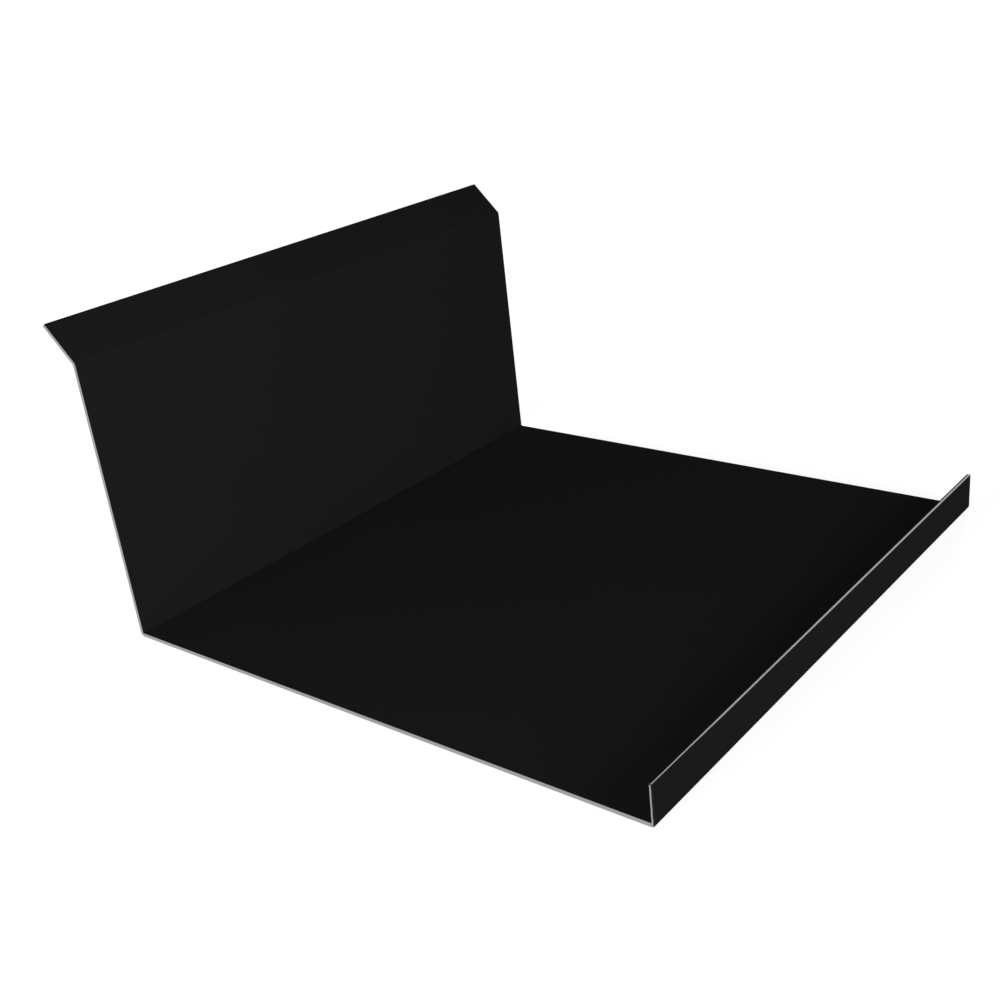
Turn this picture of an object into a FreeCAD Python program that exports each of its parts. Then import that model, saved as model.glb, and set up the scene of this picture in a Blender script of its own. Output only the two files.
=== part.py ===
# Wall abutment flashing: one strip of coated sheet metal, folded along three parallel lines.
# The section is drawn in the YZ plane and runs along X. The wall's face is the plane y = 0,
# the roof is the plane z = 0, and the heel of the flashing sits in the corner between them.
# From the front the section goes: lip turned up, roof leg, wall leg, kick leaning back into the wall.
import FreeCAD, Part
import math
import os

# Sheet, in millimetres
sheet_thickness = 1.2
inside_bend_radius = 0.2
flashing_length = 203.5

# Legs, measured on the face that lies against the roof and the wall
roof_leg_depth = 200.0
wall_leg_height = 93.3
kick_length = 15.3
lip_height = 13.1

# Folds, in degrees
heel_angle = 90.0
lip_angle = 90.0
kick_lean = 45.0


def direction(degrees_above_front):
    """A unit step in the section: 0 points away from the wall, 90 points up, 180 into the wall."""
    turn = math.radians(degrees_above_front)
    return FreeCAD.Vector(0, -math.cos(turn), math.sin(turn))


def seated_corners():
    """The sharp corners of the face that touches roof and wall, from the lip's edge to the kick's edge."""
    heel = FreeCAD.Vector(0, 0, 0)
    lip_fold = heel + direction(0) * roof_leg_depth
    lip_edge = lip_fold + direction(180 - lip_angle) * lip_height
    kick_fold = heel + direction(heel_angle) * wall_leg_height
    kick_edge = kick_fold + direction(heel_angle + kick_lean) * kick_length
    return [lip_edge, lip_fold, heel, kick_fold, kick_edge]


def bend(before, corner, after, radius):
    """The arc of one fold, tangent to the two flats that would meet at the sharp corner."""
    to_before = (before - corner).normalize()
    to_after = (after - corner).normalize()
    half_angle = to_before.getAngle(to_after) / 2
    setback = radius / math.tan(half_angle)
    bisector = (to_before + to_after).normalize()
    nearest = corner + bisector * (radius / math.sin(half_angle) - radius)
    return Part.Arc(corner + to_before * setback, nearest, corner + to_after * setback)


def seated_line():
    """The face that touches roof and wall as one line: flats joined by the arcs of the three folds."""
    corners = seated_corners()
    outside_bend_radius = inside_bend_radius + sheet_thickness
    radii = [outside_bend_radius, outside_bend_radius, inside_bend_radius]
    edges = []
    start = corners[0]
    for before, corner, after, radius in zip(corners, corners[1:], corners[2:], radii):
        arc = bend(before, corner, after, radius)
        edges.append(Part.LineSegment(start, arc.StartPoint).toShape())
        edges.append(arc.toShape())
        start = arc.EndPoint
    edges.append(Part.LineSegment(start, corners[-1]).toShape())
    return Part.Wire(edges)


def sheet_section():
    """The closed section: the seated line given the sheet's thickness, on the side seen from the front."""
    return seated_line().makeOffset2D(-sheet_thickness, join=0, fill=True, openResult=True)


def flashing_sheet():
    """The folded sheet, cut square at both ends and centred on x = 0."""
    section = sheet_section()
    section.translate(FreeCAD.Vector(-flashing_length / 2, 0, 0))
    return section.extrude(FreeCAD.Vector(flashing_length, 0, 0))


sheet = flashing_sheet()
os.makedirs("parts", exist_ok=True)
sheet.exportStep("parts/flashing_sheet.step")
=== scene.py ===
# Wall abutment flashing: one folded strip of matt black coated sheet, with bare metal at its cuts.
# Everything is in metres. X runs along the folds, +Y goes into the wall and Z is up.
import bpy
import math
from mathutils import Matrix, Vector


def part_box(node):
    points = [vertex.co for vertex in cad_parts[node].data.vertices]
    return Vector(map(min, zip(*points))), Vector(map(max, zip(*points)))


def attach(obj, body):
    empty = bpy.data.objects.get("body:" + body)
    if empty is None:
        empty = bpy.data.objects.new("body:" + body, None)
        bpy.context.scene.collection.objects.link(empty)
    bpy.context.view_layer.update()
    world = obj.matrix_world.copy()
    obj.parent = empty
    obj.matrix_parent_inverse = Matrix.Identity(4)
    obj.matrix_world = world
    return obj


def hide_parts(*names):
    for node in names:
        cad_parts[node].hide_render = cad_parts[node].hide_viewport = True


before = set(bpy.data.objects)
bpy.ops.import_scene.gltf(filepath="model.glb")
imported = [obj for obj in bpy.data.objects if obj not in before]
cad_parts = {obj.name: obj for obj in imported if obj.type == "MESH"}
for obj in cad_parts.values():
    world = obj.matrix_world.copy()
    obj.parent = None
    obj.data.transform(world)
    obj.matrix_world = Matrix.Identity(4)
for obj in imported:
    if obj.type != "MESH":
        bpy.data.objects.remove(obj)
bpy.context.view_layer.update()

# The sheet. Its legs are worked out from the solid that it stands for.
sheet_thickness = 0.0012
inside_bend_radius = 0.0002
lip_height = 0.0131
kick_lean = math.radians(45)
solid_low, solid_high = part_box("flashing_sheet")
flashing_length = solid_high.x - solid_low.x
roof_leg_depth = -solid_low.y
kick_length = solid_high.y / math.sin(kick_lean)
kick_rise = kick_length * math.cos(kick_lean) + sheet_thickness * math.sin(kick_lean)
wall_leg_height = solid_high.z - kick_rise

# Detail of the mesh
bend_steps = 14
cut_edge_round = 0.00004
cut_edge_steps = 2
eased_edge_angle = math.radians(60)
cut_metal_slot = 1

# The photograph's camera
camera_place = Vector((-0.31230, -0.34805, 0.20203))
camera_azimuth = math.radians(50.563)
camera_elevation = math.radians(24.718)
camera_roll = math.radians(5.954)
sensor_width = 36.0
picture_pixels = 1000
focal_pixels = 1316.7
axis_pixel = (542.5, 522.7)

# Colours, linear
coating_black = 0.0105
# The coat where it laps over the lip's cuts is painted darker than the coat itself. This is painted shade,
# so that the lapped strip on the end cut, lit by the left lamp, keeps the shade of the lip's outer face.
lapped_coat_painted_shade_black = 0.0078
bare_metal_grey = 0.371

# The coat's marks, in repeats to the metre, and its skin
cloud_scale = 22.0
drawn_grain_along = 9.0
drawn_grain_across = 700.0
skin_scale = 1100.0
skin_depth = 0.00001
coat_roughness = 0.62

# The cut metal is smoother where the blade sheared it and rougher where the sheet tore
shear_line_scale = 9000.0
shear_line_stretch = 0.00025
shear_line_depth = 0.000004
sheared_roughness = 0.36
torn_roughness = 0.46

# The lip's cuts are bare along a line between the coats that lap over them from both faces. Each side
# of the line is a share of the sheet, from the lip's outer face.
end_cut_bare_from = 0.53
end_cut_bare_to = 0.87
end_cut_bare_top = lip_height - 0.0005
top_cut_bare_from = 0.19
top_cut_bare_to_near = 0.45
top_cut_bare_to_far = 0.56

# Along the top cut the outer coat's lap thins from the left end and is gone at this share of the length
outer_lap_length = 0.35
past_outer_face = -0.2

# How far the laps' edges wander, in shares of the sheet and repeats to the metre, and how soft they are
lap_wander = 0.14
lap_wander_scale = 420.0
lap_edge = 0.03
lap_corner = 0.00006

# The surround's level for everything but the eye
surround_level = 0.025

# Floor: its colour for the light, and what the eye sees of it near the sheet
floor_bounce = 0.03
floor_shade = 0.176
floor_speckle = 0.01
floor_speckle_scale = 60.0
floor_glow = 0.88
floor_shadow_reach = 0.30
floor_white_from = 0.9
floor_half_width = 12.0
floor_gap = 0.00002
white = (1.0, 1.0, 1.0, 1.0)


class Wire:
    """A node's output that can be used in sums: each operator adds its Math node to the same tree."""

    def __init__(self, tree, socket):
        self.tree = tree
        self.socket = socket

    def maths(self, operation, *values):
        """One Math node on these values, given in the order of its sockets."""
        return self.tree.add("ShaderNodeMath", {"operation": operation}, dict(enumerate(values)))

    def __add__(self, other):
        return self.maths("ADD", self, other)

    def __sub__(self, other):
        return self.maths("SUBTRACT", self, other)

    def __rsub__(self, other):
        return self.maths("SUBTRACT", other, self)

    def __mul__(self, other):
        return self.maths("MULTIPLY", self, other)

    def __truediv__(self, other):
        return self.maths("DIVIDE", self, other)

    def __neg__(self):
        return self.maths("MULTIPLY", self, -1.0)

    def __lt__(self, other):
        return self.maths("LESS_THAN", self, other)

    def size(self):
        return self.maths("ABSOLUTE", self)

    def sine(self):
        return self.maths("SINE", self)

    def cosine(self):
        return self.maths("COSINE", self)

    def tangent(self):
        return self.maths("TANGENT", self)

    def at_least(self, other):
        return self.maths("MAXIMUM", self, other)

    def ramp(self, start, end, low=0.0, high=1.0):
        """Goes smoothly from low to high while this value goes from start to end."""
        sockets = {"Value": self, "From Min": start, "From Max": end, "To Min": low, "To Max": high}
        return self.tree.add("ShaderNodeMapRange", {"interpolation_type": "SMOOTHSTEP"}, sockets)

    __radd__ = __add__
    __rmul__ = __mul__


class Tree:
    """A node tree that is filled by one method."""

    def __init__(self, tree):
        self.tree = tree

    def add(self, kind, settings=None, sockets=None, output=0):
        """Adds a node, sets its settings and then its sockets, and gives back one of its outputs.

        The setting "choices" is the number of an Index Switch's items.
        """
        node = self.tree.nodes.new(kind)
        for name, value in (settings or {}).items():
            if name == "choices":
                while len(node.index_switch_items) < value:
                    node.index_switch_items.new()
            else:
                setattr(node, name, value)
        for name, value in (sockets or {}).items():
            if isinstance(value, Wire):
                self.tree.links.new(value.socket, node.inputs[name])
            else:
                node.inputs[name].default_value = value
        if len(node.outputs) == 0:
            return None
        return Wire(self, node.outputs[output])

    def vector(self, x, y, z):
        return self.add("ShaderNodeCombineXYZ", None, {"X": x, "Y": y, "Z": z})

    def grey(self, value):
        """A colour of three equal parts from one number."""
        sockets = {"Red": value, "Green": value, "Blue": value}
        return self.add("ShaderNodeCombineColor", None, sockets)

    def parts(self, vector):
        """The three numbers of a vector."""
        split = self.add("ShaderNodeSeparateXYZ", None, {"Vector": vector}).socket.node
        return [Wire(self, socket) for socket in split.outputs]

    def noise(self, place, scale, detail):
        """Smooth noise at a place, mostly between 0.3 and 0.7."""
        return self.add("ShaderNodeTexNoise", None, {"Vector": place, "Scale": scale, "Detail": detail})


# Materials

def new_material(name):
    material = bpy.data.materials.new(name)
    material.use_nodes = True
    material.node_tree.nodes.clear()
    return material, Tree(material.node_tree)


def finish_material(tree, sockets):
    """Ends a material in one Principled shader."""
    shader = tree.add("ShaderNodeBsdfPrincipled", None, sockets)
    tree.add("ShaderNodeOutputMaterial", None, {"Surface": shader})


def matt_black_coating():
    """Matt factory coating: near black, with a fine skin and a faint drawn grain along the strip."""
    material, tree = new_material("matt_black_coating")
    place = tree.add("ShaderNodeTexCoord", output="Object")
    x = tree.parts(place)[0]
    run = tree.add("ShaderNodeAttribute", {"attribute_name": "run"}, output="Fac")
    cloud = tree.noise(place, cloud_scale, 3.0)
    drawn = tree.noise(tree.vector(x * drawn_grain_along, run * drawn_grain_across, 0.0), 1.0, 2.0)
    skin = tree.noise(place, skin_scale, 2.0)
    shade = 1.0 + (cloud - 0.5) * 0.06 + (drawn - 0.5) * 0.05
    height = skin * 0.7 + drawn * 0.3
    bump = tree.add("ShaderNodeBump", None, {"Strength": 1.0, "Distance": skin_depth, "Height": height})
    finish_material(tree, {
        "Base Color": tree.grey(shade * coating_black),
        "Roughness": coat_roughness + (cloud - 0.5) * 0.12 + (drawn - 0.5) * 0.08,
        "Specular IOR Level": 0.0,
        "Normal": bump,
    })
    return material


def lapped_coat(tree, place, run):
    """1 where the lip's coat laps over its cuts. The end cuts and the top cut have their own bare line."""
    x, y, z = tree.parts(place)
    along = (x + flashing_length / 2) / flashing_length
    wander = (tree.noise(tree.vector(x, run, 0.0), lap_wander_scale, 2.0) - 0.5) * lap_wander
    share = (y + roof_leg_depth) / sheet_thickness + wander
    on_top = z.ramp(lip_height - cut_edge_round * 3, lip_height - cut_edge_round)
    top_from = along.ramp(0.0, outer_lap_length, top_cut_bare_from, past_outer_face)
    top_to = along.ramp(0.0, 1.0, top_cut_bare_to_near, top_cut_bare_to_far)
    bare_from = end_cut_bare_from + (top_from - end_cut_bare_from) * on_top
    bare_to = end_cut_bare_to + (top_to - end_cut_bare_to) * on_top
    above_leg = z.ramp(sheet_thickness, sheet_thickness * 1.2)
    outer_lap = (bare_from - share).ramp(-lap_edge, lap_edge)
    inner_lap = (share - bare_to).ramp(-lap_edge, lap_edge) * above_leg
    corner_lap = z.ramp(end_cut_bare_top - lap_corner, end_cut_bare_top + lap_corner) * (1.0 - on_top)
    on_lip = share < 2.0
    return outer_lap.at_least(inner_lap).at_least(corner_lap) * on_lip


def bare_cut_metal():
    """Sheared metal: fine lines across the cut. On the lip the coat laps over parts of it, in a colour
    darker than the coat's own, which is painted shade.
    """
    material, tree = new_material("bare_cut_metal")
    place = tree.add("ShaderNodeTexCoord", output="Object")
    x = tree.parts(place)[0]
    run = tree.add("ShaderNodeAttribute", {"attribute_name": "run"}, output="Fac")
    across = tree.add("ShaderNodeAttribute", {"attribute_name": "across"}, output="Fac")
    shear = tree.noise(tree.vector(x + run, across * shear_line_stretch, 0.0), shear_line_scale, 2.0)
    lapped = lapped_coat(tree, place, run)
    metal = bare_metal_grey * (1.0 + (shear - 0.5) * 0.16)
    height = shear * (1.0 - lapped)
    bump = tree.add("ShaderNodeBump", None,
                    {"Strength": 1.0, "Distance": shear_line_depth, "Height": height})
    roughness = across.ramp(0.25, 0.45, sheared_roughness, torn_roughness)
    finish_material(tree, {
        # The lapped coat is painted darker than the coat elsewhere: painted shade against the lamps' light
        # on the cuts.
        "Base Color": tree.grey(metal + (lapped_coat_painted_shade_black - metal) * lapped),
        "Metallic": 1.0 - lapped,
        "Roughness": roughness + (shear - 0.5) * 0.10 + lapped * 0.2,
        "Specular IOR Level": 0.0,
        "Normal": bump,
    })
    return material


def seen_by_eye_or_gloss(tree):
    """1 where the camera, a reflection or a view through glass looks, 0 for the light itself."""
    path = tree.add("ShaderNodeLightPath", output="Is Camera Ray").socket.node
    camera, glossy, through = [Wire(tree, path.outputs[name]) for name in
                               ("Is Camera Ray", "Is Glossy Ray", "Is Transmission Ray")]
    return camera.at_least(glossy).at_least(through)


def pale_floor_finish():
    """Plain pale floor. To the eye it is white, with a faint shadow by the sheet and none further off.

    It throws little light back up, so each leg keeps an even shade from its base to its top.
    """
    material, tree = new_material("pale_floor")
    place = tree.add("ShaderNodeTexCoord", output="Object")
    speckle = tree.noise(place, floor_speckle_scale, 2.0)
    shade = floor_shade + (speckle - 0.5) * floor_speckle
    lit = tree.add("ShaderNodeBsdfDiffuse", None, {"Color": tree.grey(floor_bounce)})
    shaded = tree.add("ShaderNodeBsdfDiffuse", None, {"Color": tree.grey(shade)})
    glow = tree.add("ShaderNodeEmission", None, {"Color": white, "Strength": floor_glow})
    near = tree.add("ShaderNodeAddShader", None, {0: shaded, 1: glow})
    far = tree.add("ShaderNodeEmission", None, {"Color": white, "Strength": 1.0})
    distance = tree.add("ShaderNodeVectorMath", {"operation": "LENGTH"}, {0: place}, output="Value")
    seen_floor = tree.add("ShaderNodeMixShader", None, {
        0: distance.ramp(floor_shadow_reach, floor_white_from), 1: near, 2: far})
    surface = tree.add("ShaderNodeMixShader", None, {0: seen_by_eye_or_gloss(tree), 1: lit, 2: seen_floor})
    tree.add("ShaderNodeOutputMaterial", None, {"Surface": surface})
    return material


# The folded sheet

sheet_inputs = {
    "Roof Leg": roof_leg_depth,
    "Wall Leg": wall_leg_height,
    "Kick": kick_length,
    "Kick Lean": kick_lean,
    "Lip": lip_height,
    "Thickness": sheet_thickness,
    "Bend Radius": inside_bend_radius,
    "Length": flashing_length,
}


def sheet_middle_corners(tree, sizes):
    """The sharp corners of the line halfway through the sheet, from the lip's edge to the kick's edge."""
    half = sizes["Thickness"] / 2
    lean = sizes["Kick Lean"]
    front = half - sizes["Roof Leg"]
    kick_y = sizes["Kick"] * lean.sine() - half * lean.cosine()
    kick_z = sizes["Wall Leg"] + sizes["Kick"] * lean.cosine() + half * lean.sine()
    return [
        tree.vector(0.0, front, sizes["Lip"]),
        tree.vector(0.0, front, half),
        tree.vector(0.0, -half, half),
        tree.vector(0.0, -half, sizes["Wall Leg"] + half * (lean / 2).tangent()),
        tree.vector(0.0, kick_y, kick_z),
    ]


def folded_sheet_nodes(coating, cut_metal):
    """The nodes that fold the sheet: a filleted line through its legs, swept by its thickness and length."""
    group = bpy.data.node_groups.new("folded_sheet", "GeometryNodeTree")
    tree = Tree(group)
    for name in sheet_inputs:
        group.interface.new_socket(name, in_out="INPUT", socket_type="NodeSocketFloat")
    group.interface.new_socket("Sheet", in_out="OUTPUT", socket_type="NodeSocketGeometry")
    source = group.nodes.new("NodeGroupInput")
    sizes = {name: Wire(tree, source.outputs[name]) for name in sheet_inputs}

    corners = sheet_middle_corners(tree, sizes)
    index = tree.add("GeometryNodeInputIndex")
    items = {str(place): corner for place, corner in enumerate(corners)}
    corner = tree.add("GeometryNodeIndexSwitch", {"data_type": "VECTOR", "choices": len(corners)},
                      {"Index": index, **items})
    line = tree.add("GeometryNodeCurvePrimitiveLine")
    line = tree.add("GeometryNodeResampleCurve", {"mode": "COUNT"}, {"Curve": line, "Count": len(corners)})
    line = tree.add("GeometryNodeSetPosition", None, {"Geometry": line, "Position": corner})
    line = tree.add("GeometryNodeFilletCurve", {"mode": "POLY"}, {
        "Curve": line, "Count": bend_steps, "Radius": sizes["Bend Radius"] + sizes["Thickness"] / 2})
    line = tree.add("GeometryNodeSetCurveNormal", {"mode": "FREE"},
                    {"Curve": line, "Normal": (1.0, 0.0, 0.0)})
    run = tree.add("GeometryNodeSplineParameter", output="Length")
    line = tree.add("GeometryNodeStoreNamedAttribute", {"data_type": "FLOAT", "domain": "POINT"},
                    {"Geometry": line, "Name": "run", "Value": run})

    strip = tree.add("GeometryNodeCurvePrimitiveQuadrilateral", {"mode": "RECTANGLE"},
                     {"Width": sizes["Length"], "Height": sizes["Thickness"]})
    strip_y = tree.parts(tree.add("GeometryNodeInputPosition"))[1]
    strip = tree.add("GeometryNodeStoreNamedAttribute", {"data_type": "FLOAT", "domain": "POINT"},
                     {"Geometry": strip, "Name": "across", "Value": strip_y / sizes["Thickness"] + 0.5})
    sheet = tree.add("GeometryNodeCurveToMesh", None,
                     {"Curve": line, "Profile Curve": strip, "Fill Caps": True})

    # A face of the coat has the same value of across all over, 0 or 1. A cut's mean value is 0.5.
    across = tree.add("GeometryNodeInputNamedAttribute", {"data_type": "FLOAT"}, {"Name": "across"})
    cut = (across - 0.5).size() < 0.25
    sheet = tree.add("GeometryNodeRealizeInstances", None, {"Geometry": sheet})
    sheet = tree.add("GeometryNodeSetMaterial", None, {"Geometry": sheet, "Material": coating})
    sheet = tree.add("GeometryNodeSetMaterial", None,
                     {"Geometry": sheet, "Selection": cut, "Material": cut_metal})
    tree.add("NodeGroupOutput", None, {"Sheet": sheet})
    return group


def finished_mesh(piece):
    """Turns a piece and its modifiers into one plain mesh."""
    graph = bpy.context.evaluated_depsgraph_get()
    solid = piece.evaluated_get(graph)
    mesh = bpy.data.meshes.new_from_object(solid, preserve_all_data_layers=True, depsgraph=graph)
    piece.modifiers.clear()
    piece.data = mesh


def folded_sheet():
    """The whole flashing: folded by nodes, its cut edges eased, its flats shaded flat up to the folds."""
    sheet = bpy.data.objects.new("folded_sheet", bpy.data.meshes.new("folded_sheet"))
    bpy.context.scene.collection.objects.link(sheet)
    fold = sheet.modifiers.new("fold", "NODES")
    fold.node_group = folded_sheet_nodes(matt_black_coating(), bare_cut_metal())
    for socket in fold.node_group.interface.items_tree:
        if socket.in_out == "INPUT":
            fold[socket.identifier] = sheet_inputs[socket.name]

    ease = sheet.modifiers.new("ease", "BEVEL")
    ease.limit_method = "ANGLE"
    ease.angle_limit = eased_edge_angle
    ease.width = cut_edge_round
    ease.segments = cut_edge_steps
    ease.use_clamp_overlap = False
    ease.material = cut_metal_slot

    flats = sheet.modifiers.new("flats", "WEIGHTED_NORMAL")
    flats.keep_sharp = True

    finished_mesh(sheet)
    return sheet


# Stage, lamps and camera

def floor():
    """A wide pale floor just under the sheet."""
    level = solid_low.z - floor_gap
    half = floor_half_width
    corners = [(-half, -half, level), (half, -half, level), (half, half, level), (-half, half, level)]
    mesh = bpy.data.meshes.new("floor")
    mesh.from_pydata(corners, [], [(0, 1, 2, 3)])
    mesh.materials.append(pale_floor_finish())
    plane = bpy.data.objects.new("floor", mesh)
    bpy.context.scene.collection.objects.link(plane)
    return plane


def soft_lamp(name, azimuth, elevation, distance, width, watts):
    """A square soft lamp that looks at the sheet's middle. Azimuth 0 is in front, 90 is to the right.

    Its angles are in degrees, and its distance and width in metres.
    """
    middle = (solid_low + solid_high) / 2
    turn, rise = math.radians(azimuth), math.radians(elevation)
    away = Vector((math.sin(turn) * math.cos(rise), -math.cos(turn) * math.cos(rise), math.sin(rise)))
    light = bpy.data.lights.new(name, "AREA")
    light.size = width
    light.energy = watts
    lamp = bpy.data.objects.new(name, light)
    lamp.location = middle + away * distance
    lamp.rotation_mode = "QUATERNION"
    lamp.rotation_quaternion = (-away).to_track_quat("-Z", "Y")
    lamp.visible_glossy = False
    bpy.context.scene.collection.objects.link(lamp)


def studio_light():
    """Four low soft lamps round the sheet. The left one's light falls off along the folds."""
    soft_lamp("left_lamp", -86, 7, 0.72, 0.28, 8.9)
    soft_lamp("front_lamp", 0, 12.5, 0.58, 0.36, 3.0)
    soft_lamp("right_lamp", 97, 9.5, 0.94, 0.15, 4.5)
    soft_lamp("back_lamp", 180, 15, 0.95, 0.2, 7.0)


def white_surround():
    """White to the eye and to reflections, and a plain soft level for the light itself."""
    world = bpy.data.worlds.new("white_surround")
    world.use_nodes = True
    world.node_tree.nodes.clear()
    tree = Tree(world.node_tree)
    seen = seen_by_eye_or_gloss(tree)
    strength = surround_level + seen * (1.0 - surround_level)
    surface = tree.add("ShaderNodeBackground", None, {"Color": white, "Strength": strength})
    tree.add("ShaderNodeOutputWorld", None, {"Surface": surface})
    bpy.context.scene.world = world


def photo_camera():
    """The photograph's camera: its place, direction, roll and lens, and where its axis meets the picture."""
    level = math.cos(camera_elevation)
    forward = Vector((level * math.sin(camera_azimuth), level * math.cos(camera_azimuth),
                      -math.sin(camera_elevation)))
    level_right = forward.cross(Vector((0, 0, 1))).normalized()
    right = Matrix.Rotation(camera_roll, 3, forward) @ level_right
    up = right.cross(forward)
    lens = bpy.data.cameras.new("photo_camera")
    lens.sensor_width = sensor_width
    lens.lens = sensor_width * focal_pixels / picture_pixels
    middle_pixel = (picture_pixels - 1) / 2
    lens.shift_x = (middle_pixel - axis_pixel[0]) / picture_pixels
    lens.shift_y = (axis_pixel[1] - middle_pixel) / picture_pixels
    lens.clip_start = 0.01
    camera = bpy.data.objects.new("photo_camera", lens)
    turn = Matrix((right, up, -forward)).transposed().to_4x4()
    camera.matrix_world = Matrix.Translation(camera_place) @ turn
    bpy.context.scene.collection.objects.link(camera)
    bpy.context.scene.camera = camera


bpy.context.scene.view_settings.view_transform = "Standard"
photo_camera()
studio_light()
white_surround()
floor()

sheet = folded_sheet()
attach(sheet, "root")
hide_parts("flashing_sheet")
